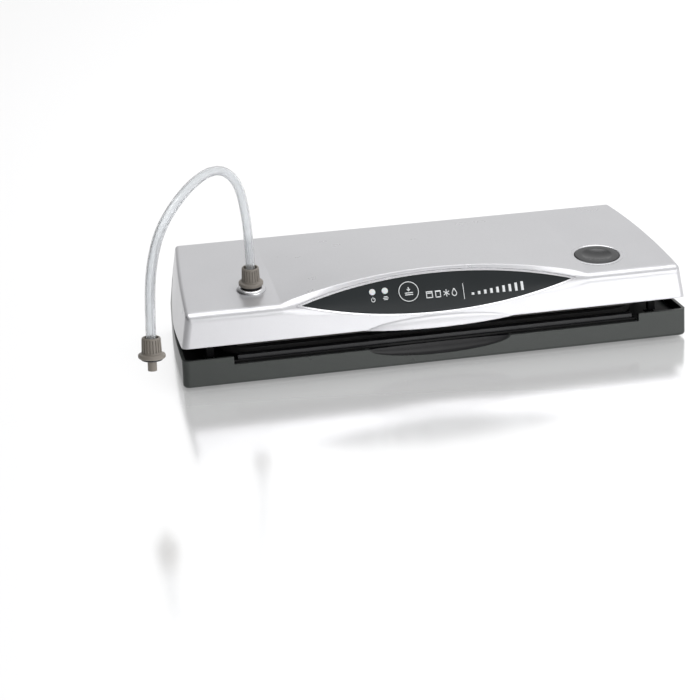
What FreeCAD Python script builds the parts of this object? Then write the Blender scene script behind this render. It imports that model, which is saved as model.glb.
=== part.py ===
import FreeCAD, Part
import math
import os

# A countertop vacuum sealer with a hinged lid, drawn a little way open, and its plug-in accessory hose.
# Millimetres. +X is to the right, +Y to the rear and +Z up. The origin is on the table, under the middle
# of the body. The thin base holds the tray, seals and catches. The thick lid holds everything electric.

V = FreeCAD.Vector
X, Y, Z = V(1, 0, 0), V(0, 1, 0), V(0, 0, 1)

# ---- Driving dimensions -------------------------------------------------------------------------------
# Whole body
body_width = 386.0          # lid's lower edge, side to side, at the front
body_depth = 148.6          # flat front to flat rear
foot_height = 2.0           # the base's underside above the table
end_taper = 7.6             # how much further in each end lies at the rear than at the front
front_corner, rear_corner = 5.0, 3.0    # upright corners, in plan
bottom_round = 2.2          # along the base's lower edge
far = 300.0                 # reach of a cutting block, beyond the whole body

# Base
base_wall = 2.5
base_flare = 0.9            # how far the base's foot stands out past the lid's edge, each side
rim_flare = 0.6             # the same at the rim
rim_z = 23.2                # top of the base's rim at the front and along the sides
sill_z = 17.2               # the lower sill that a bag lies across
raised_end = 37.4           # width of each raised end beside the sill
rear_rim_z = 45.2           # top of the base's rear wall
rise_lead = 10.0            # the rim's rise begins this far before the gasket ring's rear edge
rise_end = 16.3             # from the top of the rim's rise to the rear face
scoop_half = 54.5           # finger scoop in the front, half its length
scoop_drop = 8.5
scoop_depth = 3.2
scoop_backing = 1.6         # wall left behind the scoop
fit_gap = 0.2               # between pieces that drop into each other

# Lid
lid_wall = 2.6
lid_lean = 0.18             # how much the sides lean in, per millimetre of height
lid_edge_z = 32.4           # front lower edge while the lid stands ajar
ajar_deg = 3.4              # how far the lid is open as drawn
lid_gap = 0.8               # lid's edge to base's rim when shut
crease_back = 7.0           # the front's top crease behind the front face
crease_z = 58.5
round_drop = 7.0            # depth of the rounding from face to crease
crease_slope = 0.142        # the top's slope just behind the crease, away from the raised middle
top_rear_z = 70.0
top_crown = 4.0             # how far the top's middle control point stands above its chord
rear_round = 4.5
hump_half = 117.5           # the raised middle of the front edge, half its length
hump_back = 9.1             # how far its crest lies behind the plain crease
hump_rise = 13.35           # and how far above
hump_foot = 7.5             # how much lower its slope begins
end_round = 3.0             # rounding where the top meets the sides
lip_half = 57.0             # finger lip along the lid's lower edge
lip_drop = 2.4
lip_reach = 2.0
lip_height = 9.5

# Hinge
hinge_inset = 1.0           # axis inside the rear face
hinge_rise = 1.8            # axis above the base's rear wall
knuckle_r = 3.0
pin_r = 1.5
pin_clearance = 0.06        # radial, in the lid's knuckle
hinge_from_end = 29.5       # middle of each hinge from the body's side
base_knuckle = 6.0
lid_knuckle = 11.0
knuckle_gap = 0.5

# Seals and tray
tray_drop = 6.2             # tray's top below the rim
tray_wall = 2.2
strip_behind_wall = 6.2     # middle of the sealing strip behind the lid's front wall
strip_width = 6.0
strip_top = 22.0
strip_sink = 3.0            # how deep it sits in the tray
strip_bed_wall, strip_bed_rise = 1.8, 2.0
seal_end_gap = 41.0         # ends of the sealing strip from the body's sides
gasket_from_front = 20.3    # front edge of the gasket ring
gasket_width = 46.0         # ring's outer size, front to rear
gasket_band = 7.0
gasket_end_gap = 32.0
gasket_sink = 1.5
gasket_top = 21.9
press_gap = 0.3             # between facing seals when shut
trough_depth = 8.0
trough_margin = 3.0

# Lid's underside
liner_rise = 2.0            # liner's underside above the rim when shut
liner_wall = 2.2
carrier_width = 9.0
element_width = 4.0
element_thick = 0.4
tape_width = 11.0
tape_thick = 0.3
bar_back = 1.0              # sealing bar's middle behind the strip's, while shut

# Latches
latch_from_end = 22.0
latch_from_front = 19.0
latch_x, latch_y = 5.0, 8.0
latch_length = 13.0
clip_thick = 0.8
well_wall = 1.2             # round each latch well
well_floor = 1.2            # its floor, above the space's own
clip_gap = 0.1              # clip to well
clip_drop = 1.0             # clip's top below the tray
post_inset = 2.4            # latch post inside the well, each side
post_half, post_back = 3.2, 1.0     # half its length, and how far back its middle lies

# Control panel
panel_half = 103.0          # middle to pointed tip
panel_tip_z = 56.4
panel_up, panel_down = 11.8, 14.2
panel_proud = 0.3
panel_depth = 1.4
bezel_width = 1.3
bezel_proud = 0.7
lens_r = 2.35
lens_proud, lens_depth = 0.5, 3.4
lens_flange, key_flange = 0.9, 1.0      # shoulders behind the panel that hold lenses and key in
key_proud = 0.6
hole_gap = 0.1              # round a lens or ring in its hole
lens_x = (-48.8, -39.2)
lens_z = 59.6
key_r = 8.0
key_x, key_z = -21.4, 57.4
key_gap = 0.15
board_length, board_height, board_thick = 118.0, 19.0, 1.6
board_back = 8.6            # board's face behind the panel's surface
board_shift = 22.0          # board's middle to the right of the key
switch_side, switch_height = 6.0, 3.4
plunger_r, plunger_gap = 1.6, 0.05
led_r, led_length = 1.5, 3.6
# Board parts: across and up from the key, width, height and thickness
board_parts = (
    (-12, -4, 8, 5, 1.4),
    (16, 2, 10, 10, 1.6),
    (34, -3, 6, 5, 1.2),
    (46, 3, 12, 9, 4.0),
    (62, -2, 9, 12, 4.0),
)
capacitor_x = (40.0, 50.0, 70.0)
capacitor_r, capacitor_length = 3.0, 8.0

# Hose port and release button, on the top
port_from_end, port_from_front = 58.0, 35.8
port_ring_r = 10.1
port_ring_height = 2.6
seat_depth = 0.8            # how deep the port's ring and the button's rim sit in the lid
port_ring_round = 1.0
port_bore_r = 3.2
nozzle_r, nozzle_depth = 5.5, 14.0
button_from_end, button_from_front = 59.1, 35.8
button_r = 17.0
button_rim_r = 19.1
rim_proud, button_proud = 0.9, 0.2
button_thick = 3.2
button_gap = 0.3
dish_r, dish_depth = 11.5, 1.2
stem_r = 2.6
spring_r, spring_wire = 5.2, 0.45
spring_turns, spring_gap = 5, 0.1
valve_r, valve_bore = 7.6, 3.3
valve_top, valve_bottom = 12.5, 31.5    # depths under the button's place
valve_lip = 1.6             # seat's ring outside the stem's disc

# Pump, motor and supply
motor_r, motor_length = 12.5, 30.0
motor_x, motor_from_front = -80.0, 70.3
cradle_wall, motor_lift = 1.5, 0.6       # cradle round the motor, and its foot above the liner
shaft_r, shaft_clearance = 1.0, 0.05
crank_r, crank_thick = 4.5, 4.0
crank_room, slot_half = 1.5, 1.2    # space round the crank, and half the slot in it
pump_size = (30.0, 30.0, 26.0)
pump_gap = 1.0              # motor's face to the pump head
pipe_r, pipe_bore_r = 2.5, 1.5
pipe_apart = 7.0            # each air tube from the pump head's middle
pipe_rise, pipe_step = 10.0, 4.0    # port's tube above the liner, and chamber's above that
core_size = (34.0, 36.0, 24.0)
coil_margin, coil_inset = 5.0, 4.0      # coil past the core at each end, and inside it above and below
supply_lift = 1.0           # supply's middle above the motor's axis
supply_x, supply_from_front = 62.0, 78.3
inlet_from_end, inlet_z = 75.0, 58.5
inlet_bore_r, inlet_r, inlet_flange_r = 3.2, 5.0, 6.6
inlet_proud = 2.0

# Accessory hose
hose_r = 3.5
flange_r, flange_thick = 9.1, 3.0
cap_r, cap_height = 6.8, 11.0
grip_ribs = 20
grip_groove_r = 0.45
nipple_r, nipple_length = 3.1, 9.0
socket_depth = 6.0
oring_r, oring_wire = 6.6, 0.8

# Feet and screws
foot_r, foot_from_end, foot_from_face = 6.0, 23.0, 20.0
foot_recess = 0.8
screw_r, screw_head_r, screw_head = 1.5, 2.8, 1.6
screw_length = 9.0

# ---- Places worked out from them ----------------------------------------------------------------------
half = body_width / 2
front, rear = -body_depth / 2, body_depth / 2
hinge_y, hinge_z = rear - hinge_inset, rear_rim_z + hinge_rise
chamber_y = front + gasket_from_front + gasket_width / 2
rise_from = chamber_y + gasket_width / 2 - rise_lead
rise_run = rear - rise_end - rise_from
rise = rear_rim_z - rim_z
rise_radius = (rise_run ** 2 + rise ** 2) / (2 * rise)
sill_half = half - raised_end
seal_half = half - seal_end_gap
gasket_half = half - gasket_end_gap
tray_z = rim_z - tray_drop
motor_y, supply_y = front + motor_from_front, front + supply_from_front
port_x, port_y = -(half - port_from_end), front + port_from_front
button_x, button_y = half - button_from_end, front + button_from_front
inlet_x = half - inlet_from_end
motor_end = motor_x + motor_length / 2
pump_x = motor_end + pump_gap + pump_size[0] / 2
liner_z = rim_z + liner_rise
nodes = {}


# ---- Small helpers ------------------------------------------------------------------------------------
def box(x0, x1, y0, y1, z0, z1):
    return Part.makeBox(x1 - x0, y1 - y0, z1 - z0, V(x0, y0, z0))


def rod(r, length, base, axis=Z):
    return Part.makeCylinder(r, length, base, axis)


def joined(shapes):
    shapes = list(shapes)
    return shapes[0].multiFuse(shapes[1:]).removeSplitter() if len(shapes) > 1 else shapes[0]


def line(a, b):
    return Part.LineSegment(a, b).toShape()


def bend(*poles):
    curve = Part.BezierCurve()
    curve.setPoles(list(poles))
    return curve.toShape()


def opened(shape, degrees=ajar_deg):
    """Lid pieces laid out shut, swung up about the hinge."""
    turned = shape.copy()
    turned.rotate(V(0, hinge_y, hinge_z), -X, degrees)
    return turned


def ellipsoid(a, b, c, centre):
    scale = FreeCAD.Matrix()
    scale.scale(a, b, c)
    ball = Part.makeSphere(1.0).transformGeometry(scale)
    ball.translate(centre)
    return ball


# ---- Outlines -----------------------------------------------------------------------------------------
def plan_wire(hx, inset, z):
    """The body from above, moved in by inset: straight front and rear, bowed ends and round corners."""
    bow = (body_depth ** 2 + end_taper ** 2) / (2 * end_taper)
    centre, reach = V(hx - bow, front, z), bow - inset
    turns = []
    for y, r, way in ((front + inset, front_corner, 1), (rear - inset, rear_corner, -1)):
        r = max(r - inset, 1.0)
        across = math.sqrt((reach - r) ** 2 - (y + way * r - front) ** 2)
        spot = V(centre.x + across, y + way * r, z)
        out = (spot - centre).normalize()
        middle = spot + (out - Y * way).normalize() * r
        turns.append((V(spot.x, y, z), middle, centre + out * reach, out))
    (front_end, front_mid, side_start, out_a), (rear_end, rear_mid, side_end, out_b) = turns
    side_mid = centre + (out_a + out_b).normalize() * reach
    right = [
        (front_end, front_mid, side_start),
        (side_start, side_mid, side_end),
        (side_end, rear_mid, rear_end),
    ]
    left = [tuple(V(-p.x, p.y, p.z) for p in reversed(points)) for points in reversed(right)]
    edges = [Part.Arc(*points).toShape() for points in right] + [line(rear_end, left[0][0])]
    edges += [Part.Arc(*points).toShape() for points in left] + [line(left[-1][-1], front_end)]
    return Part.Wire(edges)


def base_block(inset):
    """The base's outside, full height, moved in by inset."""
    levels = (
        (foot_height, half + base_flare),
        (rim_z, half + rim_flare),
        (hinge_z, half - (hinge_z - lid_edge_z) * lid_lean),
    )
    return Part.makeLoft([plan_wire(hx, inset, z) for z, hx in levels], True, True)


def below_rim(rise_by):
    """Everything under the rim's side profile, which runs level and then curves up to the rear wall."""
    low, high = rim_z + rise_by, rear_rim_z + rise_by
    start, end = V(-far, rise_from, low), V(-far, rear - rise_end, high)
    half_turn = math.asin(rise_run / rise_radius) / 2
    along, up = rise_radius * math.sin(half_turn), rise_radius * (1 - math.cos(half_turn))
    mid = V(-far, rise_from + along, low + up)
    corner = [V(-far, far, high), V(-far, far, -far), V(-far, -far, -far), V(-far, -far, low)]
    edges = [Part.Arc(start, mid, end).toShape(), line(end, corner[0])]
    edges += [line(a, b) for a, b in zip(corner, corner[1:])] + [line(corner[-1], start)]
    return Part.Face(Part.Wire(edges)).extrude(V(2 * far, 0, 0))


def part_way(a, b, t):
    return a * (1 - t) + b * t


def lid_section(x, lift, inset):
    """The lid's side profile at x. lift is 0 on the plain ends and 1 at the crest of the raised middle."""
    y0, y1 = front + inset, rear - inset
    foot = V(x, y0, crease_z - round_drop - lift * (hump_foot + 0.29 * inset))
    knee_z = crease_z - crease_slope * crease_back * (1 - lift) + 0.4 * lift - inset * (1 - 0.47 * lift)
    knee = V(x, y0 + lift * (6.5 - 0.15 * inset), knee_z)
    crest_y = front + crease_back + lift * (hump_back + 0.55 * inset)
    crest = V(x, crest_y, crease_z + lift * hump_rise - inset)
    back = V(x, rear - rear_round, top_rear_z - inset)
    chord = (crest + back) / 2
    crown = V(x, chord.y, chord.z + top_crown * (1 - 0.7 * lift))
    heel = V(x, y1, top_rear_z - rear_round - inset * 0.5)
    low_front, low_rear = V(x, y0, 0), V(x, y1, 0)
    return Part.Wire([
        line(low_front, foot), bend(foot, knee, crest), bend(crest, crown, back),
        bend(back, V(x, y1, top_rear_z - inset), heel), line(heel, low_rear), line(low_rear, low_front),
    ])


def lid_block(inset):
    """The lid's outside, running on downwards, moved in by inset."""
    lifts = ((-hump_half, 0), (0, 1), (hump_half, 0))
    middle = Part.makeLoft([lid_section(x, lift, inset) for x, lift in lifts], True)
    plain = [(side, lid_section(side * hump_half, 0, inset)) for side in (-1, 1)]
    ends = [Part.Face(section).extrude(V(side * half, 0, 0)) for side, section in plain]
    levels = [(z, half + (lid_edge_z - z) * lid_lean) for z in (1.0, top_rear_z + hump_rise)]
    plan = Part.makeLoft([plan_wire(hx, inset, z) for z, hx in levels], True, True)
    return joined([middle, *ends]).common(plan)


def eye(grow):
    """The panel's outline, two arcs that meet in points, cut through from front to rear."""
    reach = panel_half + 3 * grow
    left, right = V(-reach, -far, panel_tip_z), V(reach, -far, panel_tip_z)
    top, bottom = V(0, -far, panel_tip_z + panel_up + grow), V(0, -far, panel_tip_z - panel_down - grow)
    wire = Part.Wire([Part.Arc(left, top, right).toShape(), Part.Arc(right, bottom, left).toShape()])
    return Part.Face(wire).extrude(V(0, far, 0))


def stadium(grow, z0, z1):
    """The sealing ring's outline, grown or shrunk, between two heights."""
    r, hx = gasket_width / 2 + grow, gasket_half - gasket_width / 2
    corners = [V(sx * hx, chamber_y + sy * r, z0) for sx, sy in ((-1, -1), (1, -1), (1, 1), (-1, 1))]
    tips = [V(side * (hx + r), chamber_y, z0) for side in (1, -1)]
    wire = Part.Wire([line(corners[0], corners[1]), Part.Arc(corners[1], tips[0], corners[2]).toShape(),
                      line(corners[2], corners[3]), Part.Arc(corners[3], tips[1], corners[0]).toShape()])
    return Part.Face(wire).extrude(V(0, 0, z1 - z0))


def rounded_path(points):
    """Straight runs joined by tangent arcs, each as large as its two runs allow."""
    edges, at, radii = [], points[0], []
    for before, corner, after in zip(points, points[1:], points[2:]):
        a, b = (before - corner), (after - corner)
        short = min(a.Length, b.Length)
        half_turn = (math.pi - a.getAngle(b)) / 2
        radius = 0.45 * short / math.tan(half_turn)
        radii.append(round(radius, 1))
        a.normalize()
        b.normalize()
        start, end = corner + a * (0.45 * short), corner + b * (0.45 * short)
        inward = (a + b).normalize()
        middle = corner + inward * (radius / math.cos(half_turn) - radius)
        edges += [line(at, start), Part.Arc(start, middle, end).toShape()]
        at = end
    edges.append(line(at, points[-1]))
    return Part.Wire(edges), radii


class Seat:
    """A point on the lid's outside with its outward normal. Depths count inwards from the surface."""

    def __init__(self, x, poles, known, value):
        low, high = 0.0, 1.0

        def at(t):
            return part_way(part_way(poles[0], poles[1], t), part_way(poles[1], poles[2], t), t)

        for _ in range(40):
            t = (low + high) / 2
            low, high = (t, high) if getattr(at(t), known) < value else (low, t)
        along = (poles[1] - poles[0]) * (1 - t) + (poles[2] - poles[1]) * t
        self.point = at(t)
        self.out = V(0, -along.z, along.y).normalize()
        self.up = self.out.cross(X) * -1

    def at(self, depth, across=0.0, up=0.0):
        return self.point - self.out * depth + X * across + self.up * up

    def rod(self, r, top, bottom, across=0.0):
        return Part.makeCylinder(r, bottom - top, self.at(bottom, across), self.out)

    def slab(self, width, height, top, bottom, across=0.0, up=0.0):
        """A block that lies along the surface, its middle at across and up."""
        block = Part.makeBox(width, height, bottom - top)
        block.translate(V(-width / 2, -height / 2, 0))
        tilt = FreeCAD.Rotation(X, self.up, self.out)
        block.Placement = FreeCAD.Placement(self.at(bottom, across, up), tilt) * block.Placement
        return block


def lid_poles(x):
    lift = max(0.0, 1 - (x / hump_half) ** 2)
    curves = [e.Curve for e in lid_section(x, lift, 0.0).OrderedEdges]
    return [[V(p) for p in c.getPoles()] for c in curves if hasattr(c, "getPoles") and c.Degree == 2]


def front_seat(x, z):
    return Seat(x, lid_poles(x)[0], "z", z)


def top_seat(x, y):
    return Seat(x, lid_poles(x)[1], "y", y)


key = front_seat(key_x, key_z)
lenses = [front_seat(x, lens_z) for x in lens_x]
port = top_seat(port_x, port_y)
button = top_seat(button_x, button_y)
inner = lid_block(lid_wall)


def rounded_outside():
    """The lid's outside with the edges between its top and its two ends rounded."""
    block = lid_block(0.0)
    edges = []
    for edge in block.Edges:
        limits = edge.BoundBox
        faces = block.ancestorsOfType(edge, Part.Face)
        beside_end = any(max(abs(f.BoundBox.XMin), abs(f.BoundBox.XMax)) > half + 1 for f in faces)
        beside_top = any(type(f.Surface).__name__ == "SurfaceOfExtrusion" for f in faces)
        high = limits.ZMin > crease_z - round_drop - 1
        one_side = limits.XMin * limits.XMax > 0
        if beside_end and beside_top and high and one_side:
            edges.append(edge)
    return block.Solids[0].makeFillet(end_round, edges)


outer = rounded_outside()


def hinge_bars(r, sides_only):
    """Round bars on the hinge's axis, where the base's two knuckles or the lid's one stand."""
    bars = []
    for side in (-1, 1):
        middle = side * (half - hinge_from_end)
        spans = [(middle - lid_knuckle / 2, middle + lid_knuckle / 2)]
        if sides_only:
            inner_end = lid_knuckle / 2 + knuckle_gap
            outer_end = inner_end + base_knuckle
            spans = [(middle - outer_end, middle - inner_end), (middle + inner_end, middle + outer_end)]
        grow = 0.0 if r <= knuckle_r else knuckle_gap - 0.1
        bars += [rod(r, b - a + 2 * grow, V(a - grow, hinge_y, hinge_z), X) for a, b in spans]
    return bars


def hinge_webs(sides_only, profile):
    webs = []
    for bar in hinge_bars(knuckle_r, sides_only):
        wire = Part.makePolygon([V(bar.BoundBox.XMin, y, z) for y, z in profile + profile[:1]])
        webs.append(Part.Face(wire).extrude(V(bar.BoundBox.XLength, 0, 0)))
    return webs


notch_r = knuckle_r + knuckle_gap
pin_hole = [rod(pin_r, body_width, V(-half, hinge_y, hinge_z), X)]
pin_bore = [rod(pin_r + pin_clearance, body_width, V(-half, hinge_y, hinge_z), X)]


def under_liner(y):
    """Height of the liner's underside at y, with the lid ajar, near enough to seat a screw head."""
    along = max(0.0, y - rise_from)
    shut = liner_z + rise_radius - math.sqrt(rise_radius ** 2 - along ** 2)
    turn = math.radians(ajar_deg)
    return hinge_z + (hinge_y - y) * math.sin(turn) + (shut - hinge_z) * math.cos(turn)


motor_z = under_liner(motor_y + motor_r + cradle_wall) + liner_wall + motor_lift + cradle_wall + motor_r


# ---- Base ---------------------------------------------------------------------------------------------
def scoop_pad(grow):
    """The thicker wall behind the finger scoop."""
    reach = scoop_half + scoop_backing + grow
    return box(-reach, reach, front + base_wall / 2, front + scoop_depth + scoop_backing + grow,
               foot_height + 2 * base_wall - grow, sill_z + grow)


def base_shell():
    block = base_block(0)
    bottom = [e for e in block.Edges if e.BoundBox.ZMax < foot_height + 0.01]
    shell = block.makeFillet(bottom_round, bottom).common(below_rim(0)).cut(base_block(base_wall))
    shell = shell.cut(box(-sill_half, sill_half, front - base_wall, front + 3 * base_wall, sill_z, far))
    web = [(rear - base_wall, rear_rim_z - 12), (rear, rear_rim_z - 12), (hinge_y + knuckle_r, hinge_z),
           (hinge_y - knuckle_r, hinge_z), (rear - base_wall, rear_rim_z - 2)]
    shell = joined([shell, scoop_pad(0), *hinge_bars(knuckle_r, True), *hinge_webs(True, web)])
    shell = shell.cut(ellipsoid(scoop_half, scoop_depth, scoop_drop, V(0, front, sill_z)))
    return shell.cut(Part.Compound(hinge_bars(notch_r, False) + pin_hole))


def foot_places():
    x, y = half - foot_from_end, body_depth / 2 - foot_from_face
    return [(sx * x, sy * y) for sy in (-1, 1) for sx in (-1, 1)]


def cover_screw_places():
    return [(x, y) for y in (front + 72, rear - 12) for x in (-half + 45, 0, half - 45)]


def bottom_cover():
    cover = base_block(base_wall + fit_gap).common(box(-far, far, -far, far, 0, foot_height + base_wall))
    for x, y in foot_places():
        cover = cover.cut(rod(foot_r + 0.1, foot_recess, V(x, y, foot_height)))
    for x, y in cover_screw_places():
        cover = cover.cut(rod(screw_r + 0.2, base_wall, V(x, y, foot_height)))
        cover = cover.cut(rod(screw_head_r + 0.2, screw_head, V(x, y, foot_height)))
    return cover


def screw(x, y, z, length):
    """A pan-head screw that points up, its head's face at z, with a cross recess."""
    head = rod(screw_head_r, screw_head, V(x, y, z))
    body = joined([head, rod(screw_r, length, V(x, y, z + screw_head - 0.1))])
    for dx, dy in ((1.7, 0.35), (0.35, 1.7)):
        body = body.cut(box(x - dx, x + dx, y - dy, y + dy, z, z + 0.8))
    return body


def latch_places():
    return [(side * (half - latch_from_end), front + latch_from_front) for side in (-1, 1)]


strip_y = front + lid_wall + strip_behind_wall
floor_z = foot_height + base_wall
well_z = floor_z + 1.0 + well_floor


def base_tray():
    fit = base_block(base_wall + fit_gap)
    tray = below_rim(-tray_drop).cut(below_rim(-tray_drop - tray_wall)).common(fit)
    skirt = fit.cut(base_block(base_wall + fit_gap + tray_wall)).common(below_rim(-tray_drop))
    skirt = skirt.common(box(-far, far, -far, far, tray_z - 6, far))
    low = tray_z - trough_depth
    trough = stadium(-gasket_band - trough_margin, low - tray_wall, tray_z)
    bed_half = strip_width / 2 + strip_bed_wall
    strip_bed = box(-seal_half - 3, seal_half + 3, strip_y - bed_half, strip_y + bed_half,
                    tray_z - strip_sink - tray_wall, tray_z + strip_bed_rise)
    gasket_bed = stadium(1.5, tray_z - gasket_sink - tray_wall, tray_z)
    wells = [box(x - latch_x, x + latch_x, y - latch_y, y + latch_y, floor_z + 1, tray_z)
             for x, y in latch_places()]
    bosses = [rod(4.0, far, V(x, y, floor_z + 0.05)) for x, y in cover_screw_places()]
    bosses = [b.common(below_rim(-tray_drop - tray_wall / 2)) for b in bosses]
    tray = joined([tray, skirt, trough, strip_bed, gasket_bed, *wells, *bosses])
    tray = tray.cut(scoop_pad(fit_gap))
    tray = tray.cut(stadium(-gasket_band - trough_margin - tray_wall, low, tray_z + 1))
    tray = tray.cut(stadium(0.0, tray_z - gasket_sink, tray_z + 1).cut(stadium(-gasket_band, 0, far)))
    tray = tray.cut(box(-seal_half, seal_half, strip_y - strip_width / 2, strip_y + strip_width / 2,
                        tray_z - strip_sink, far))
    for x, y in latch_places():
        tray = tray.cut(box(x - latch_x + well_wall, x + latch_x - well_wall, y - latch_y + well_wall,
                            y + latch_y - well_wall, well_z, far))
    for x, y in cover_screw_places():
        tray = tray.cut(rod(screw_r, screw_length, V(x, y, foot_height + base_wall)))
    return tray


def catch_clip(x, y):
    """A spring clip in a latch well: two leaves either side of the lid's post."""
    reach_x, reach_y = latch_x - well_wall - clip_gap, latch_y - well_wall - clip_gap
    bottom = box(x - reach_x, x + reach_x, y - reach_y, y + reach_y, well_z, well_z + clip_thick)
    leaves = [box(a, a + clip_thick, y - reach_y, y + reach_y, well_z, tray_z - clip_drop)
              for a in (x - reach_x, x + reach_x - clip_thick)]
    return joined([bottom, *leaves])


def foot(x, y):
    pad = rod(foot_r, foot_height + foot_recess, V(x, y, 0))
    return pad.makeChamfer(0.5, [e for e in pad.Edges if abs(e.BoundBox.ZMax) < 0.01])


nodes["base_shell"] = base_shell()
nodes["base_tray"] = base_tray()
nodes["bottom_cover"] = bottom_cover()
nodes["sealing_strip"] = box(-seal_half + 0.1, seal_half - 0.1, strip_y - strip_width / 2 + 0.05,
                             strip_y + strip_width / 2 - 0.05, tray_z - strip_sink, strip_top)
gasket_hole = stadium(0.05 - gasket_band, 0, far)
nodes["base_gasket"] = stadium(-0.05, tray_z - gasket_sink, gasket_top).cut(gasket_hole)
for name, (x, y) in zip(("front_left", "front_right", "rear_left", "rear_right"), foot_places()):
    nodes["foot_" + name] = foot(x, y)
nodes["cover_screws"] = Part.Compound([screw(x, y, foot_height, screw_length - screw_head)
                                       for x, y in cover_screw_places()])
pin_reach = lid_knuckle / 2 + knuckle_gap + base_knuckle
for side, name in ((-1, "left"), (1, "right")):
    pin_x = side * (half - hinge_from_end)
    nodes["hinge_pin_" + name] = rod(pin_r, 2 * pin_reach, V(pin_x - pin_reach, hinge_y, hinge_z), X)
for (x, y), name in zip(latch_places(), ("left", "right")):
    nodes["catch_clip_" + name] = catch_clip(x, y)


# ---- Lid ----------------------------------------------------------------------------------------------
def shut_layer(low, high):
    """A layer that follows the rim's profile between two heights above it, swung up with the lid."""
    return opened(below_rim(high).cut(below_rim(low)))


def lid_screw_places():
    return [(x, y) for y in (front + 68, rear - 22) for x in (-half + 17, -20.0, half - 17)]


def finger_lip():
    """A crescent that swells out of the lid's lower edge and dips under it."""
    low = lid_edge_z - lip_drop
    lip = ellipsoid(lip_half, lip_reach, lip_height, V(0, front, low))
    lip = lip.fuse(box(-lip_half, lip_half, front, front + lid_wall, low - 1, lid_edge_z + 1))
    ends = V(-lip_half, -far, lid_edge_z + 0.2), V(lip_half, -far, lid_edge_z + 0.2)
    arc = Part.Arc(ends[0], V(0, -far, low), ends[1]).toShape()
    low_right, low_left = V(lip_half, -far, 0), V(-lip_half, -far, 0)
    under = Part.Wire([arc, line(ends[1], low_right), line(low_right, low_left), line(low_left, ends[0])])
    lip = lip.cut(Part.Face(under).extrude(V(0, 2 * far, 0)))
    return lip.common(box(-far, far, -far, front + lid_wall, 0, far))


def lid_shell():
    above = opened(below_rim(far).cut(below_rim(lid_gap)))
    recess = eye(bezel_width + 0.1).cut(lid_block(panel_depth))
    shell = outer.cut(inner).cut(recess).common(above)
    rear_web = [(hinge_y - knuckle_r, hinge_z), (hinge_y + knuckle_r, hinge_z), (rear, rear_rim_z + 14),
                (rear - lid_wall, rear_rim_z + 14), (rear - lid_wall, hinge_z)]
    liner_top = shut_layer(liner_rise + liner_wall, far)
    bosses = [rod(3.6, far, V(x, y, 0)).common(liner_top).common(lid_block(lid_wall / 2))
              for x, y in lid_screw_places()]
    parts = [shell, finger_lip(), *hinge_bars(knuckle_r, False), *hinge_webs(False, rear_web), *bosses]
    shell = joined(parts).cut(Part.Compound(hinge_bars(notch_r, True))).cut(Part.Compound(pin_bore))
    holes = [key.rod(key_r + key_gap, -5, lid_wall + 1)]
    holes += [s.rod(lens_r + hole_gap, -5, lid_wall + 1) for s in lenses]
    holes += [port.rod(nozzle_r + hole_gap, -5, lid_wall + 2)]
    holes += [port.rod(port_ring_r + hole_gap, -5, seat_depth)]
    holes += [button.rod(button_rim_r - 0.9, -5, lid_wall + 2)]
    holes += [button.rod(button_rim_r + hole_gap, -5, seat_depth)]
    holes += [rod(inlet_r + hole_gap, 12, V(inlet_x, rear - 8, inlet_z), Y)]
    holes += [key.rod(key_r + 1.3, lid_wall, lid_wall + 3)]
    holes += [s.rod(lens_r + 1.1, lid_wall, lid_wall + 3) for s in lenses]
    holes += [rod(screw_r + 0.05, 10, V(x, y, under_liner(y)), Z) for x, y in lid_screw_places()]
    return shell.cut(Part.Compound(holes))


def lid_liner():
    liner = shut_layer(liner_rise, liner_rise + liner_wall).common(lid_block(lid_wall + fit_gap))
    cuts = hinge_bars(notch_r, True) + hinge_bars(notch_r, False)
    cuts += [button.rod(valve_r + 0.1, 10, 60)]
    cuts += [rod(pipe_r + 0.1, 14, V(pump_x + pipe_apart, chamber_y, under_liner(chamber_y) - 4))]
    for x, y in lid_screw_places():
        z = under_liner(y)
        cuts += [rod(screw_r + 0.2, 8, V(x, y, z - 3))]
        cuts += [rod(screw_head_r + 0.2, 6, V(x, y, z + screw_head * 0.9 - 6))]
    return liner.cut(Part.Compound(cuts))


def spring():
    """The release button's coil spring, between the button's underside and the valve seat."""
    room = valve_top - button_thick - 2 * spring_gap - 2 * spring_wire
    steps = 14 * spring_turns
    rings = []
    for i in range(steps + 1):
        angle = 2 * math.pi * spring_turns * i / steps
        spot = V(spring_r * math.cos(angle), spring_r * math.sin(angle), room * i / steps)
        way = V(-math.sin(angle), math.cos(angle), room / (2 * math.pi * spring_r * spring_turns))
        rings.append(Part.Wire(Part.Circle(spot, way, spring_wire).toShape()))
    coil = Part.makeLoft(rings, True, True)
    low_end = button.at(valve_top - spring_gap - spring_wire)
    coil.Placement = FreeCAD.Placement(low_end, FreeCAD.Rotation(Z, button.out))
    return coil


nodes["lid_liner"] = lid_liner()
nodes["lid_shell"] = lid_shell()
nodes["lid_screws"] = Part.Compound([screw(x, y, under_liner(y) - screw_head * 0.1 - 0.4, 7.0)
                                     for x, y in lid_screw_places()])
eye_band = lid_block(-panel_proud).cut(lid_block(panel_depth))
panel_holes = [key.rod(key_r + key_gap, -5, 9)] + [s.rod(lens_r + hole_gap, -5, 9) for s in lenses]
nodes["control_panel"] = eye(0).common(eye_band).cut(Part.Compound(panel_holes))
bezel_band = lid_block(-bezel_proud).cut(lid_block(panel_depth))
nodes["panel_bezel"] = eye(bezel_width).cut(eye(0.1)).common(bezel_band)
for seat, name in zip(lenses, ("power", "sealing")):
    stalk = seat.rod(lens_r, -lens_proud, lens_depth)
    nodes[name + "_lens"] = stalk.fuse(seat.rod(lens_r + lens_flange, lid_wall + hole_gap, lens_depth))

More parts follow.
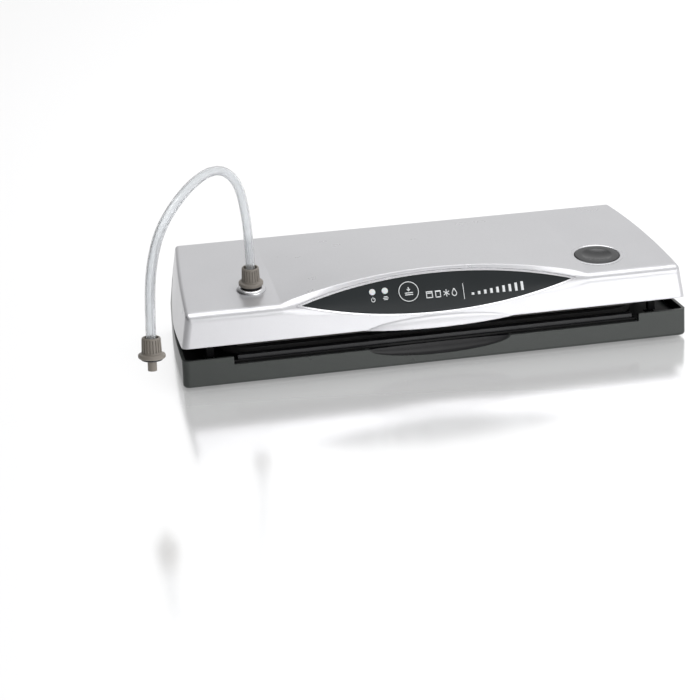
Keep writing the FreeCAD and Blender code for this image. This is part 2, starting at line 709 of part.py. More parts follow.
# Circuit board behind the panel, level with the panel at the key
board_rear = board_back + board_thick
nodes["circuit_board"] = key.slab(board_length, board_height, board_back, board_rear, board_shift)
switch_top = board_back - switch_height
switch = key.slab(switch_side, switch_side, switch_top, board_back)
nodes["key_switch"] = switch.cut(key.rod(plunger_r + plunger_gap, switch_top - 1, switch_top + 2.4))
leds = [key.rod(led_r, board_back - led_length, board_back, x - key_x) for x in lens_x]
chips = [key.slab(w, h, board_back - t, board_back, x, y) for x, y, w, h, t in board_parts]
caps = [key.rod(capacitor_r, board_rear, board_rear + capacitor_length, x) for x in capacitor_x]
nodes["indicator_leds"] = Part.Compound(leds)
nodes["board_components"] = Part.Compound(chips + caps)

# Seal key
shoulder = lid_wall + fit_gap
cap = key.rod(key_r, -key_proud, shoulder)
nodes["seal_key"] = cap.fuse(key.rod(key_r + key_flange, shoulder, shoulder + key_flange))
nodes["switch_plunger"] = key.rod(plunger_r, shoulder + key_flange, switch_top + 1.2)

# Hose port
ring = port.rod(port_ring_r, -port_ring_height, seat_depth).cut(port.rod(nozzle_r + 0.02, -9, 9))
top_middle = port.at(-port_ring_height)
top_rim = [e for e in ring.Edges if e.Closed and (e.CenterOfMass - top_middle).Length < 0.1
           and e.Length > 2 * math.pi * (port_ring_r - 1)]
nodes["port_ring"] = ring.makeFillet(port_ring_round, top_rim)
nozzle = port.rod(nozzle_r, -port_ring_height, nozzle_depth).cut(port.rod(port_bore_r, -9, 11.5))
nodes["port_nozzle"] = nozzle.cut(port.rod(1.2, 11.0, 15.0))

# Release button, its spring and the air valve that it opens
rim = button.rod(button_rim_r, -rim_proud, seat_depth).fuse(button.rod(button_rim_r - 1.0, seat_depth, 4.0))
nodes["release_rim"] = rim.cut(button.rod(button_r + button_gap, -5, 9))
disc = button.rod(button_r, -button_proud, button_thick)
ball_r = (dish_r ** 2 + dish_depth ** 2) / (2 * dish_depth)
nodes["release_button"] = disc.cut(Part.makeSphere(ball_r, button.at(dish_depth - button_proud - ball_r)))
nodes["release_spring"] = spring()
valve_body = button.rod(valve_r, valve_top, valve_bottom)
nodes["valve_seat"] = valve_body.cut(button.rod(valve_bore, valve_top - 1, far))
stem = button.rod(stem_r, button_thick, valve_bottom + 0.1)
nodes["valve_stem"] = stem.fuse(button.rod(valve_r - valve_lip, valve_bottom + 0.1, valve_bottom + 1.9))

# Underside: sealing bar and upper gasket
def seal_layer(width, low, high):
    """One strip of the sealing bar, laid out shut and swung up with the lid."""
    middle_y = strip_y + bar_back
    return opened(box(-seal_half, seal_half, middle_y - width / 2, middle_y + width / 2, low, high))


tape_low = strip_top + press_gap / 2
element_low = tape_low + tape_thick
carrier_low = element_low + element_thick
nodes["bar_carrier"] = seal_layer(carrier_width, carrier_low, liner_z)
nodes["heating_element"] = seal_layer(element_width, element_low, carrier_low)
nodes["release_tape"] = seal_layer(tape_width, tape_low, element_low)
nodes["lid_gasket"] = opened(stadium(0, gasket_top + press_gap, liner_z).cut(stadium(-gasket_band, 0, far)))
for (x, y), name in zip(latch_places(), ("left", "right")):
    reach_x, post_y = latch_x - post_inset, y + post_back
    post = box(x - reach_x, x + reach_x, post_y - post_half, post_y + post_half,
               liner_z - latch_length, liner_z)
    nodes["latch_post_" + name] = opened(post)


# Pump, motor and supply
def axis_at(x):
    return V(x, motor_y, motor_z)


def block_about(x, y, z, size):
    """A block with its middle at x, y, z."""
    w, d, h = size
    return box(x - w / 2, x + w / 2, y - d / 2, y + d / 2, z - h / 2, z + h / 2)


nodes["pump_motor"] = rod(motor_r, motor_length, axis_at(motor_end - motor_length), X).cut(
    rod(shaft_r + shaft_clearance, motor_length + 2, axis_at(motor_end - motor_length - 1), X))
head = block_about(pump_x, motor_y, motor_z, pump_size)
nodes["pump_head"] = head.cut(rod(crank_r + crank_room, 7.0, axis_at(motor_end), X))
nodes["motor_shaft"] = rod(shaft_r, motor_length + 5.0, axis_at(motor_end - motor_length + 1), X)
crank = rod(crank_r, crank_thick, axis_at(motor_end + 1.6), X)
crank = crank.cut(rod(shaft_r, far, axis_at(motor_end - far / 2), X))
nodes["pump_crank"] = crank.cut(box(-far, far, motor_y + 1.8, far, motor_z - slot_half, motor_z + slot_half))
cradle_half = motor_r + cradle_wall
cradle = box(motor_end - motor_length + 2, motor_end - 2, motor_y - cradle_half, motor_y + cradle_half,
             motor_z - cradle_half, motor_z - motor_r / 3)
nodes["motor_cradle"] = cradle.cut(rod(motor_r + 0.02, far, axis_at(motor_end - far / 2), X))
supply_z = motor_z + supply_lift
coil_size = (core_size[0] + 2 * coil_margin, core_size[1] / 2, core_size[2] - 2 * coil_inset)
coil = block_about(supply_x, supply_y, supply_z, coil_size)
nodes["transformer_coil"] = coil
nodes["transformer_core"] = block_about(supply_x, supply_y, supply_z, core_size).cut(coil)

# Air tubes from the pump head to the port's nozzle and to the vacuum chamber
pump_face = motor_y - pump_size[1] / 2
level = under_liner(chamber_y) + liner_wall + pipe_rise
low = port.at(nozzle_depth)
turn = low - port.out * ((low.z - level) / port.out.z)
port_route = [low, turn, V(pump_x - pipe_apart, turn.y, level), V(pump_x - pipe_apart, pump_face, level)]
chamber_x = pump_x + pipe_apart
chamber_level = level + pipe_step
mouth_z = under_liner(chamber_y) + 0.5
chamber_route = [V(chamber_x, chamber_y, mouth_z), V(chamber_x, chamber_y, chamber_level),
                 V(chamber_x, pump_face, chamber_level)]
for name, points in (("port_tube", port_route), ("pump_tube", chamber_route)):
    middle_line = rounded_path(points)[0]
    way = points[1] - points[0]
    skins = [middle_line.makePipeShell([Part.Wire(Part.makeCircle(r, points[0], way))], True, False)
             for r in (pipe_r, pipe_bore_r)]
    nodes[name] = skins[0].cut(skins[1])

# Rear inlet for the mains lead
bush = rod(inlet_r, lid_wall + 4, V(inlet_x, rear - lid_wall - 4, inlet_z), Y)
bush = bush.fuse(rod(inlet_flange_r, inlet_proud - 0.2, V(inlet_x, rear + 0.2, inlet_z), Y))
bush = bush.fuse(rod(inlet_r, 0.4, V(inlet_x, rear - 0.1, inlet_z), Y))
bush = bush.fuse(rod(inlet_flange_r, 1.4, V(inlet_x, rear - lid_wall - 1.6, inlet_z), Y))
nodes["lead_inlet"] = bush.cut(rod(inlet_bore_r, 30, V(inlet_x, rear - 20, inlet_z), Y))


# ---- Accessory hose -----------------------------------------------------------------------------------
def fitting(tip, out):
    """A ribbed push-in fitting. tip is the middle of the flange's face and out points along the hose."""
    body = rod(flange_r, flange_thick, tip, out)
    body = body.fuse(rod(cap_r, cap_height + 0.1, tip + out * (flange_thick - 0.1), out))
    side = out.cross(X).normalize()
    for i in range(grip_ribs):
        turned = FreeCAD.Rotation(out, 360.0 * i / grip_ribs).multVec(side)
        foot_of_groove = tip + turned * cap_r + out * (flange_thick + 1.0)
        body = body.cut(rod(grip_groove_r, cap_height, foot_of_groove, out))
    body = body.fuse(rod(nipple_r, nipple_length + 0.1, tip - out * nipple_length, out))
    top = flange_thick + cap_height
    body = body.cut(rod(hose_r, socket_depth, tip + out * (top - socket_depth), out))
    return body.cut(rod(1.8, far, tip - out * (nipple_length + 1), out))


def oring(tip, out):
    return Part.makeTorus(oring_r, oring_wire, tip - out * oring_wire, out)


seated = port_ring_height + 2 * oring_wire
near_tip = port.at(-seated)
start = near_tip + port.out * (flange_thick + cap_height - socket_depth)
# The hose's points after its first straight run, counted from the port's place on the lid
bends = [
    (-1.5, -6.5, 61.2), (-6, -13, 84.7), (-17.5, -31.5, 100.7), (-32.5, -57, 107.2), (-49, -84.5, 105.2),
    (-64.5, -111.5, 98.2), (-77, -132, 86.7), (-85, -145.5, 66.7), (-88, -150.5, 41.2), (-89, -152.2, 15.7),
]
route = [start, start + port.out * 23.5] + [port.point + V(*step) for step in bends]
path, radii = rounded_path(route)
print("hose bend radii", radii, "length", round(path.Length, 1))
bore = Part.Wire(Part.makeCircle(hose_r, route[0], port.out))
hose = path.makePipeShell([bore], True, False)
swept = math.pi * hose_r ** 2 * path.Length
print("hose volume", round(hose.Volume), "section times length", round(swept), hose.isValid())
far_out = (route[-2] - route[-1]).normalize()
far_tip = route[-1] - far_out * (flange_thick + cap_height - socket_depth)
nodes["hose"] = hose
nodes["port_fitting"] = fitting(near_tip, port.out)
nodes["port_oring"] = oring(near_tip, port.out)
nodes["canister_fitting"] = fitting(far_tip, far_out)
nodes["canister_oring"] = oring(far_tip, far_out)

os.makedirs("parts", exist_ok=True)
for name, shape in nodes.items():
    solids = shape.Solids
    if not shape.isValid() or not solids:
        print("look at", name, shape.ShapeType, shape.isValid(), len(solids))
    whole = solids[0] if len(solids) == 1 else Part.Compound(solids)
    whole.exportStep("parts/" + name + ".step")
print(len(nodes), "nodes")
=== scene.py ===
# %% [markdown]
# # A countertop vacuum sealer
# This lesson dresses a finished CAD model of a vacuum sealer: a silver lid drawn a little way open over a
# charcoal base, a dark pointed control panel, a round air-release button, and a clear hose in the lid's port.
# The CAD nodes keep their shapes and places. Here they get their finishes, and the pieces that the eye
# rests on, such as the hose, its fittings and the printed marks, are modelled again with finer detail.

import math

import bmesh
import bpy
from mathutils import Matrix, Vector
from mathutils.bvhtree import BVHTree


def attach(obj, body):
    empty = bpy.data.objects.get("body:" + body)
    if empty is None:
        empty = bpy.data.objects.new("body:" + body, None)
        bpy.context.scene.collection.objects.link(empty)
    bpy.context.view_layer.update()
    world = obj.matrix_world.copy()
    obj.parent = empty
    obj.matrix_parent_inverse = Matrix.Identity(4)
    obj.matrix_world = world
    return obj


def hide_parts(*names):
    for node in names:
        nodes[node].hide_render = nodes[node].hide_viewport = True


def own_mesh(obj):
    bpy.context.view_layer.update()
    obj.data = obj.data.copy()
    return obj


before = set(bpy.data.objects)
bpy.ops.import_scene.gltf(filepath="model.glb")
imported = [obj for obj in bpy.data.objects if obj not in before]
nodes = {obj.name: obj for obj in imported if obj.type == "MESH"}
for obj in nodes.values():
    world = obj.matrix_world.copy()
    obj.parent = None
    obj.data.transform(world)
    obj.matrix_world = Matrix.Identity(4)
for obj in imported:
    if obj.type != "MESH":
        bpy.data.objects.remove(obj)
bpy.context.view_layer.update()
scene = bpy.context.scene

# %% [markdown]
# ## Camera
# A product shot is taken with a long lens from well back, so that parallel edges stay nearly parallel. The
# camera stands in front and a little to the left, looks down by about 19 degrees, and is rolled slightly,
# which tips the machine up to the right. Three turns in a row, about Z, X and its own Z, aim it.

# %% Camera
camera_data = bpy.data.cameras.new("camera")
camera_data.sensor_width = 36.0
camera_data.lens = 103.26
camera_data.clip_start = 0.05
camera = bpy.data.objects.new("camera", camera_data)
scene.collection.objects.link(camera)
turn, look_down, roll = math.radians(-10.26), math.radians(19.20), math.radians(-2.707)
aim = Matrix.Rotation(turn, 4, "Z") @ Matrix.Rotation(math.pi / 2 - look_down, 4, "X")
aim = aim @ Matrix.Rotation(roll, 4, "Z")
camera.matrix_world = Matrix.Translation((-0.3196, -1.4599, 0.5093)) @ aim
scene.camera = camera
print("camera aims along", [round(v, 3) for v in aim @ Vector((0, 0, -1, 0))][:3])

# %% [markdown]
# ## The hose
# The hose is a clear, flexible vinyl tube, 7 mm across. It leaves the port straight up, arches over to the
# left and towards the viewer, and comes down to its second fitting. A NURBS curve with few control points
# gives one smooth line. The order is set after the points, because a spline with two points can't take a
# higher one. The points carry the tube's radius, so that the curve's box is the tube's own box. A Solidify
# modifier turns the bevelled skin into a real tube with a bore, so that light bends at both walls.

# %% The hose's line
hose_points = [
    (-0.1350, -0.03993, 0.07436), (-0.1350, -0.04267, 0.09770), (-0.1365, -0.04500, 0.12344),
    (-0.1410, -0.05150, 0.14694), (-0.1525, -0.07000, 0.16294), (-0.1675, -0.09550, 0.16944),
    (-0.1840, -0.12300, 0.16744), (-0.1995, -0.15000, 0.16044), (-0.2120, -0.17050, 0.14894),
    (-0.2200, -0.18400, 0.12894), (-0.2230, -0.18900, 0.10344), (-0.2240, -0.19070, 0.07794),
]
hose_curve = bpy.data.curves.new("vacuum_hose", "CURVE")
hose_curve.dimensions = "3D"
line = hose_curve.splines.new("NURBS")
line.points.add(len(hose_points) - 1)
for point, place in zip(line.points, hose_points):
    point.co = (*place, 1.0)
    point.radius = 0.0035
line.order_u = 3
line.use_endpoint_u = True
line.resolution_u = 12
hose_curve.bevel_depth = 1.0
hose_curve.bevel_resolution = 10
hose = bpy.data.objects.new("vacuum_hose", hose_curve)
scene.collection.objects.link(hose)
wall = hose.modifiers.new("wall", "SOLIDIFY")
wall.thickness = 0.0011
wall.offset = -1.0
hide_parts("hose")
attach(hose, "hose_set")
print("hose control points:", len(hose_points))

# %% [markdown]
# ## Turned pieces
# The fittings, the port's ring, the release button and its rim are all turned: each is one outline, swept
# round an axis. A lathe helper draws the outline as a chain of vertices and spins it. The outline is given
# as radius and height in millimetres, and the finished shape is stood on a point with its axis along a
# direction. Smooth shading with sharp edges kept at steep angles gives crisp moulded corners.


# %% Lathe helpers
MM = 0.001


def spun(outline, steps, loop=True):
    """A bmesh made by spinning an outline of (radius, height) pairs in millimetres about the Z axis."""
    bm = bmesh.new()
    chain = [bm.verts.new((r * MM, 0, h * MM)) for r, h in outline]
    pairs = list(zip(chain, chain[1:])) + ([(chain[-1], chain[0])] if loop else [])
    edges = [bm.edges.new(pair) for pair in pairs]
    bmesh.ops.spin(bm, geom=chain + edges, axis=(0, 0, 1), cent=(0, 0, 0), angle=2 * math.pi, steps=steps,
                   use_merge=True)
    bmesh.ops.remove_doubles(bm, verts=bm.verts, dist=1e-7)
    bmesh.ops.recalc_face_normals(bm, faces=bm.faces)
    return bm


def stand(bm, place, along):
    """Stand a bmesh's origin on a place, with its Z axis along a direction."""
    tilt = Vector((0, 0, 1)).rotation_difference(Vector(along)).to_matrix().to_4x4()
    bmesh.ops.transform(bm, matrix=Matrix.Translation(place) @ tilt, verts=bm.verts)


def piece(name, bm, body, stands_for=(), sharp=38):
    """A finished piece from a bmesh: it rides on a body and takes the place of CAD nodes."""
    mesh = bpy.data.meshes.new(name)
    bm.to_mesh(mesh)
    bm.free()
    for face in mesh.polygons:
        face.use_smooth = True
    mesh.set_sharp_from_angle(angle=math.radians(sharp))
    made = bpy.data.objects.new(name, mesh)
    scene.collection.objects.link(made)
    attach(made, body)
    if stands_for:
        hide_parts(*stands_for)
    print(name, "faces", len(mesh.polygons))
    return made


# %% [markdown]
# ## Hose fittings
# Each end of the hose is pushed into a ribbed cap with a round flange under it. A thin nipple below the
# flange plugs into the port. The cap's side is spun with sixty steps, and every third column of faces is
# inset a little way in, which gives twenty moulded grooves with sloping walls. The hose stands in a wide
# countersink in the cap's top.

# %% Two fittings
fitting_outline = [
    (1.8, -9), (3.0, -9), (3.1, -8.8), (3.1, 0), (8.8, 0), (9.2, 0.45), (9.2, 2.0), (8.9, 2.5), (8.0, 2.9),
    (7.0, 3.1), (6.85, 3.5), (6.8, 4.1), (6.45, 12.9), (6.3, 13.5), (5.9, 13.95), (5.3, 14.05), (4.95, 13.8),
    (4.75, 11.2), (3.55, 10.8), (3.52, 8), (1.8, 8),
]


def ribbed_fitting(name, tip, out, stands_for):
    bm = spun(fitting_outline, 60)
    side = []
    for face in bm.faces:
        middle = face.calc_center_median()
        if 6.0 < middle.xy.length / MM < 6.9 and 5.0 < middle.z / MM < 12.0:
            side.append((math.atan2(middle.y, middle.x), face))
    side.sort(key=lambda pair: pair[0])
    grooves = [face for i, (angle, face) in enumerate(side) if i % 3 == 0]
    bmesh.ops.inset_individual(bm, faces=grooves, thickness=0.1 * MM, depth=-0.6 * MM, use_even_offset=True)
    stand(bm, tip, out)
    return piece(name, bm, "hose_set", [stands_for], sharp=30)


port_out = Vector((0.0, -0.11691, 0.99314))
far_out = Vector((0.0391, 0.06647, 0.99702))
port_cap = ribbed_fitting("port_cap", (-0.135, -0.038991, 0.066414), port_out, "port_fitting")
canister_cap = ribbed_fitting("canister_cap", (-0.224313, -0.191232, 0.069967), far_out, "canister_fitting")

# %% [markdown]
# ## Port ring and release button
# The hose plugs into a bright rounded ring on the lid. Its foot spreads a little over the paint, which hides
# the edge of the hole. The release button is a polished disc with a shallow dish for a fingertip and a
# softened edge, in a thin bright rim that slopes in towards it.

# %% Ring, rim and button
port_place = Vector((-0.135, -0.0385, 0.062243))
button_place = Vector((0.1339, -0.0385, 0.062243))
ring_outline = [
    (5.56, -0.78), (10.05, -0.78), (10.05, 0.04), (11.2, 0.06), (11.25, 0.3), (10.9, 0.85), (10.3, 1.5),
    (9.45, 2.1), (8.7, 2.48), (7.9, 2.6), (6.2, 2.6), (5.7, 2.45), (5.56, 2.1),
]
bm = spun(ring_outline, 96)
stand(bm, port_place, port_out)
port_collar = piece("port_collar", bm, "lid", ["port_ring"], sharp=50)

rim_outline = [
    (17.32, -3.95), (17.32, -0.55), (17.45, -0.22), (17.75, 0.08), (18.2, 0.26), (18.8, 0.3), (19.5, 0.2),
    (20.2, 0.05), (20.2, 0.01), (19.05, -0.02), (19.05, -0.78), (18.05, -0.78), (18.05, -3.95),
]
bm = spun(rim_outline, 128)
stand(bm, button_place, port_out)
button_rim = piece("button_rim", bm, "lid", ["release_rim"], sharp=50)

dish_r, dish_depth = 11.5, 1.9
dish_ball = (dish_r ** 2 + dish_depth ** 2) / (2 * dish_depth)
dish = [(r, 0.15 - dish_depth + dish_ball - math.sqrt(dish_ball ** 2 - r ** 2)) for r in (0, 3, 6, 8.5, 10.5, 11.3)]
button_outline = dish + [
    (11.55, 0.17), (11.9, 0.2), (16.2, 0.2), (16.6, 0.14), (16.85, -0.05), (16.98, -0.4), (16.98, -3.15), (0, -3.15),
]
bm = spun(button_outline, 128, loop=False)
stand(bm, button_place, port_out)
button_disc = piece("button_disc", bm, "release", ["release_button"], sharp=50)

# %% [markdown]
# ## Release spring
# A coil spring holds the button up. A ring of wire is spun five turns while it climbs, and its two ends are
# filled. It stands on the valve's seat.

# %% Coil spring
spring_turns, spring_height, spring_low = 5, 8.2, 11.95
climbs = 28 * spring_turns
bm = bmesh.new()
bmesh.ops.create_circle(bm, segments=10, radius=0.45 * MM,
                        matrix=Matrix.Translation((5.2 * MM, 0, 0)) @ Matrix.Rotation(math.pi / 2, 4, "X"))
bmesh.ops.spin(bm, geom=bm.verts[:] + bm.edges[:], axis=(0, 0, 1), cent=(0, 0, 0),
               dvec=(0, 0, spring_height * MM / climbs), angle=2 * math.pi * spring_turns, steps=climbs)
bmesh.ops.holes_fill(bm, edges=[e for e in bm.edges if e.is_boundary])
bmesh.ops.recalc_face_normals(bm, faces=bm.faces)
spring_foot = button_place - port_out * (spring_low * MM)
stand(bm, spring_foot, port_out)
release_coil = piece("release_coil", bm, "lid", ["release_spring"], sharp=50)
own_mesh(release_coil)

# %% [markdown]
# ## Printed marks
# The panel carries a row of pale printed marks: a ring round the seal key, a small sign under each lamp, a
# thin divider, three pictograms and a row of level bars. They are drawn flat with bmesh primitives, in
# millimetres across and up, cut fine enough to bend, and dropped onto the panel with ray casts towards the
# rear. Each then gets a hair's thickness, as silk-screen ink has.


# %% Drawing helpers
def bar(wide, high, cell=0.7):
    """A filled rectangle in the XZ plane, in cells small enough to follow a curved panel."""
    bm = bmesh.new()
    across, up = max(1, round(wide / cell)), max(1, round(high / cell))
    bmesh.ops.create_grid(bm, x_segments=across, y_segments=up, size=0.5)
    upright = Matrix.Rotation(math.pi / 2, 4, "X") @ Matrix.Diagonal((wide, high, 1, 1))
    bmesh.ops.transform(bm, matrix=upright, verts=bm.verts)
    return bm


def band(r, thick, start=0.0, sweep=360.0):
    """A band along a circle in the XZ plane, or along part of one. Angles run from straight up."""
    bm = bmesh.new()
    side = Vector((math.sin(math.radians(start)), 0, math.cos(math.radians(start))))
    ends = [bm.verts.new(side * (r - thick / 2)), bm.verts.new(side * (r + thick / 2))]
    edge = bm.edges.new(ends)
    bmesh.ops.spin(bm, geom=ends + [edge], axis=(0, 1, 0), cent=(0, 0, 0), angle=math.radians(sweep),
                   steps=max(6, round(sweep / 7.5)), use_merge=sweep >= 360)
    return bm


def stamp(sheet, shape, x, z, turn=0.0):
    """Put a shape on a sheet, turned about its own middle."""
    place = Matrix.Translation((x, 0, z)) @ Matrix.Rotation(math.radians(turn), 4, "Y")
    bmesh.ops.transform(shape, matrix=place, verts=shape.verts)
    carrier = bpy.data.meshes.new("carrier")
    shape.to_mesh(carrier)
    shape.free()
    sheet.from_mesh(carrier)
    bpy.data.meshes.remove(carrier)


def printed(name, sheet, node_name, body):
    """Drop a sheet drawn in millimetres onto a CAD node from the front, and give its ink a thickness."""
    target = nodes[node_name].data
    tree = BVHTree.FromPolygons([v.co for v in target.vertices], [p.vertices for p in target.polygons])
    for vert in sheet.verts:
        place, normal, _, _ = tree.ray_cast(Vector((vert.co.x * MM, -0.3, vert.co.z * MM)), Vector((0, 1, 0)))
        vert.co = place + normal.normalized() * (0.015 * MM if normal.y < 0 else -0.015 * MM)
    sheet.normal_update()
    bmesh.ops.reverse_faces(sheet, faces=[face for face in sheet.faces if face.normal.y > 0])
    made = piece(name, sheet, body)
    ink = made.modifiers.new("ink", "SOLIDIFY")
    ink.thickness = 0.06 * MM
    ink.offset = 1.0
    return made


# %% Marks on the panel
marks = bmesh.new()
row_z, sign_z = 54.1, 54.9
stamp(marks, band(1.35, 0.45, start=38, sweep=284), -48.8, sign_z - 0.25)
stamp(marks, bar(0.45, 1.6, 0.4), -48.8, sign_z + 0.85)
for lift in (-0.95, 0.0, 0.95):
    stamp(marks, bar(4.2 - abs(lift) * 1.3, 0.48, 0.4), -39.2, sign_z + lift)
stamp(marks, bar(0.45, 10.6), 20.2, row_z)

# Bag, jar, cold and moisture signs
for side in (-1, 1):
    stamp(marks, bar(0.6, 4.6), -6.0 + side * 2.2, row_z)
    stamp(marks, bar(0.6, 3.6), 0.6 + side * 1.8, row_z - 0.5)
for lift in (-2.0, 1.0, 2.0):
    stamp(marks, bar(4.4, 0.6), -6.0, row_z + lift)
stamp(marks, bar(3.6, 0.6), 0.6, row_z - 2.1)
stamp(marks, bar(4.4, 0.9), 0.6, row_z + 1.8)
for turned in (0, 60, 120):
    stamp(marks, bar(0.55, 5.0), 7.0, row_z, turned)
stamp(marks, band(1.7, 0.6, start=48, sweep=264), 13.0, row_z - 0.6)
for side in (-1, 1):
    stamp(marks, bar(0.6, 2.6), 13.0 + side * 0.75, row_z + 1.5, side * -30)

# A rising row of level bars
for step in range(9):
    high = 1.6 + step * 0.55
    stamp(marks, bar(2.0, high), 27.0 + step * 4.75, row_z - 3.0 + high / 2)
panel_marks = printed("panel_marks", marks, "control_panel", "lid")

# %% Marks on the seal key
# The key leans back by 30 degrees, so its marks are drawn round and then flattened to its height from the front.
marks = bmesh.new()
stamp(marks, band(7.4, 0.55), 0, 0)
stamp(marks, bar(0.7, 2.6), 0, 2.1)
for side in (-1, 1):
    stamp(marks, bar(0.7, 1.9), side * 0.55, 1.15, side * 45)
for lift in (-1.0, -2.4):
    stamp(marks, bar(6.2, 0.65), 0, lift)
lean = Matrix.Translation((-21.4, 0, 57.7)) @ Matrix.Diagonal((1, 1, 0.8686, 1))
bmesh.ops.transform(marks, matrix=lean, verts=marks.verts)
key_marks = printed("key_marks", marks, "seal_key", "seal_key")

# %% [markdown]
# ## Node helpers
# Every finish here is a small node tree around one Principled BSDF. Three helpers keep the trees readable:
# one starts a material and sets its plain values, one adds a node with its settings and links, and one adds
# a node group that was built earlier.


# %% Node helpers
def finish(name, colour, **values):
    """A material whose Principled BSDF has this colour and these plain values."""
    material = bpy.data.materials.new(name)
    material.use_nodes = True
    shader = material.node_tree.nodes["Principled BSDF"]
    shader.inputs["Base Color"].default_value = (*colour, 1.0)
    for socket, value in values.items():
        shader.inputs[socket.replace("_", " ")].default_value = value
    return material, shader


def add(tree, kind, links=(), **settings):
    """A node of this kind, with plain settings, and a value or a link for each named socket."""
    node = tree.nodes.new(kind)
    for key, value in settings.items():
        setattr(node, key, value)
    for socket, source in dict(links).items():
        if isinstance(source, bpy.types.NodeSocket):
            tree.links.new(source, node.inputs[socket])
        else:
            node.inputs[socket].default_value = source
    return node


def group_node(tree, group, values):
    """One of the shared node groups, with its own values."""
    node = tree.nodes.new("ShaderNodeGroup")
    node.node_tree = group
    for socket, value in values.items():
        node.inputs[socket].default_value = value
    return node


def blend_colours(tree, factor, first, second):
    """A Mix node between two colours. Its sockets for colours are the seventh and the eighth."""
    return add(tree, "ShaderNodeMix", {0: factor, 6: first, 7: second}, data_type="RGBA").outputs[2]


def new_group(name, inputs, outputs):
    """An empty shader node group with named sockets, its inputs with their start values."""
    group = bpy.data.node_groups.new(name, "ShaderNodeTree")
    for label, value in inputs.items():
        group.interface.new_socket(label, in_out="INPUT", socket_type="NodeSocketFloat").default_value = value
    for label, kind in outputs.items():
        group.interface.new_socket(label, in_out="OUTPUT", socket_type=kind)
    return group, group.nodes.new("NodeGroupInput"), group.nodes.new("NodeGroupOutput")


FLOAT, VECTOR = "NodeSocketFloat", "NodeSocketVector"
print("node helpers ready")

# %% [markdown]
# ## Soft edges and wear
# No moulded edge is perfectly sharp, and handling rubs edges first. A Bevel node looks round each corner
# within a radius and gives a rounded normal. Where that normal leaves the true one, the surface is an edge,
# so the angle between the two is also the wear mask. A noise texture breaks the mask up, so that wear isn't
# even.

# %% Soft edge group
soft_edge, given, result = new_group("soft edge", {"Radius": 0.0003, "Gain": 3.0}, {"Normal": VECTOR, "Wear": FLOAT})
rounded = add(soft_edge, "ShaderNodeBevel", {"Radius": given.outputs["Radius"]}, samples=4)
surface = add(soft_edge, "ShaderNodeNewGeometry")
agree = add(soft_edge, "ShaderNodeVectorMath", {0: rounded.outputs["Normal"], 1: surface.outputs["Normal"]},
            operation="DOT_PRODUCT")
apart = add(soft_edge, "ShaderNodeMath", {0: 1.0, 1: agree.outputs["Value"]}, operation="SUBTRACT")
strong = add(soft_edge, "ShaderNodeMath", {0: apart.outputs[0], 1: given.outputs["Gain"]}, operation="MULTIPLY",
             use_clamp=True)
where = add(soft_edge, "ShaderNodeTexCoord")
patchy = add(soft_edge, "ShaderNodeTexNoise", {"Vector": where.outputs["Object"], "Scale": 140.0, "Detail": 3.0})
broken = add(soft_edge, "ShaderNodeMapRange", {"Value": patchy.outputs["Fac"], "From Min": 0.38, "From Max": 0.62})
worn = add(soft_edge, "ShaderNodeMath", {0: strong.outputs[0], 1: broken.outputs["Result"]}, operation="MULTIPLY")
soft_edge.links.new(rounded.outputs["Normal"], result.inputs["Normal"])
soft_edge.links.new(worn.outputs[0], result.inputs["Wear"])
print("soft edge:", len(soft_edge.nodes), "nodes")

# %% [markdown]
# ## Moulded grain
# Moulded plastic copies the fine texture of its tool. One noise gives the grain's height, and a much larger
# one gives slow patches, which vary colour and gloss a little across a surface.

# %% Moulded grain group
moulded_grain, given, result = new_group("moulded grain", {"Scale": 900.0}, {"Height": FLOAT, "Patches": FLOAT})
where = add(moulded_grain, "ShaderNodeTexCoord")
fine = add(moulded_grain, "ShaderNodeTexNoise",
           {"Vector": where.outputs["Object"], "Scale": given.outputs["Scale"], "Detail": 2.0, "Roughness": 0.6})
slow = add(moulded_grain, "ShaderNodeTexNoise", {"Vector": where.outputs["Object"], "Scale": 28.0, "Detail": 4.0})
spread = add(moulded_grain, "ShaderNodeMapRange", {"Value": slow.outputs["Fac"], "From Min": 0.3, "From Max": 0.7})
moulded_grain.links.new(fine.outputs["Fac"], result.inputs["Height"])
moulded_grain.links.new(spread.outputs["Result"], result.inputs["Patches"])
print("moulded grain:", len(moulded_grain.nodes), "nodes")

# %% [markdown]
# ## Settled dust
# A little dust settles on whatever faces up, more in some places than others. The mask is the surface's
# upward part, raised to a power and broken by noise.

# %% Settled dust group
settled_dust, given, result = new_group("settled dust", {"Amount": 0.1}, {"Mask": FLOAT})
surface = add(settled_dust, "ShaderNodeNewGeometry")
facing = add(settled_dust, "ShaderNodeSeparateXYZ", {0: surface.outputs["Normal"]})
upward = add(settled_dust, "ShaderNodeMath", {0: facing.outputs["Z"], 1: 0.0}, operation="MAXIMUM")
steep = add(settled_dust, "ShaderNodeMath", {0: upward.outputs[0], 1: 6.0}, operation="POWER")
where = add(settled_dust, "ShaderNodeTexCoord")
specks = add(settled_dust, "ShaderNodeTexNoise", {"Vector": where.outputs["Object"], "Scale": 420.0, "Detail": 5.0})
clumps = add(settled_dust, "ShaderNodeMapRange", {"Value": specks.outputs["Fac"], "From Min": 0.45, "From Max": 0.75})
lying = add(settled_dust, "ShaderNodeMath", {0: steep.outputs[0], 1: clumps.outputs["Result"]}, operation="MULTIPLY")
scaled = add(settled_dust, "ShaderNodeMath", {0: lying.outputs[0], 1: given.outputs["Amount"]}, operation="MULTIPLY")
settled_dust.links.new(scaled.outputs[0], result.inputs["Mask"])
print("settled dust:", len(settled_dust.nodes), "nodes")

# %% [markdown]
# ## Moulded finishes
# Most pieces are moulded, so one recipe covers them: a colour that wanders a little with the slow patches,
# edges that lighten with wear, a film of dust, gloss that varies, and grain as a bump over the soft edges.
# Each finish has its own numbers for them.


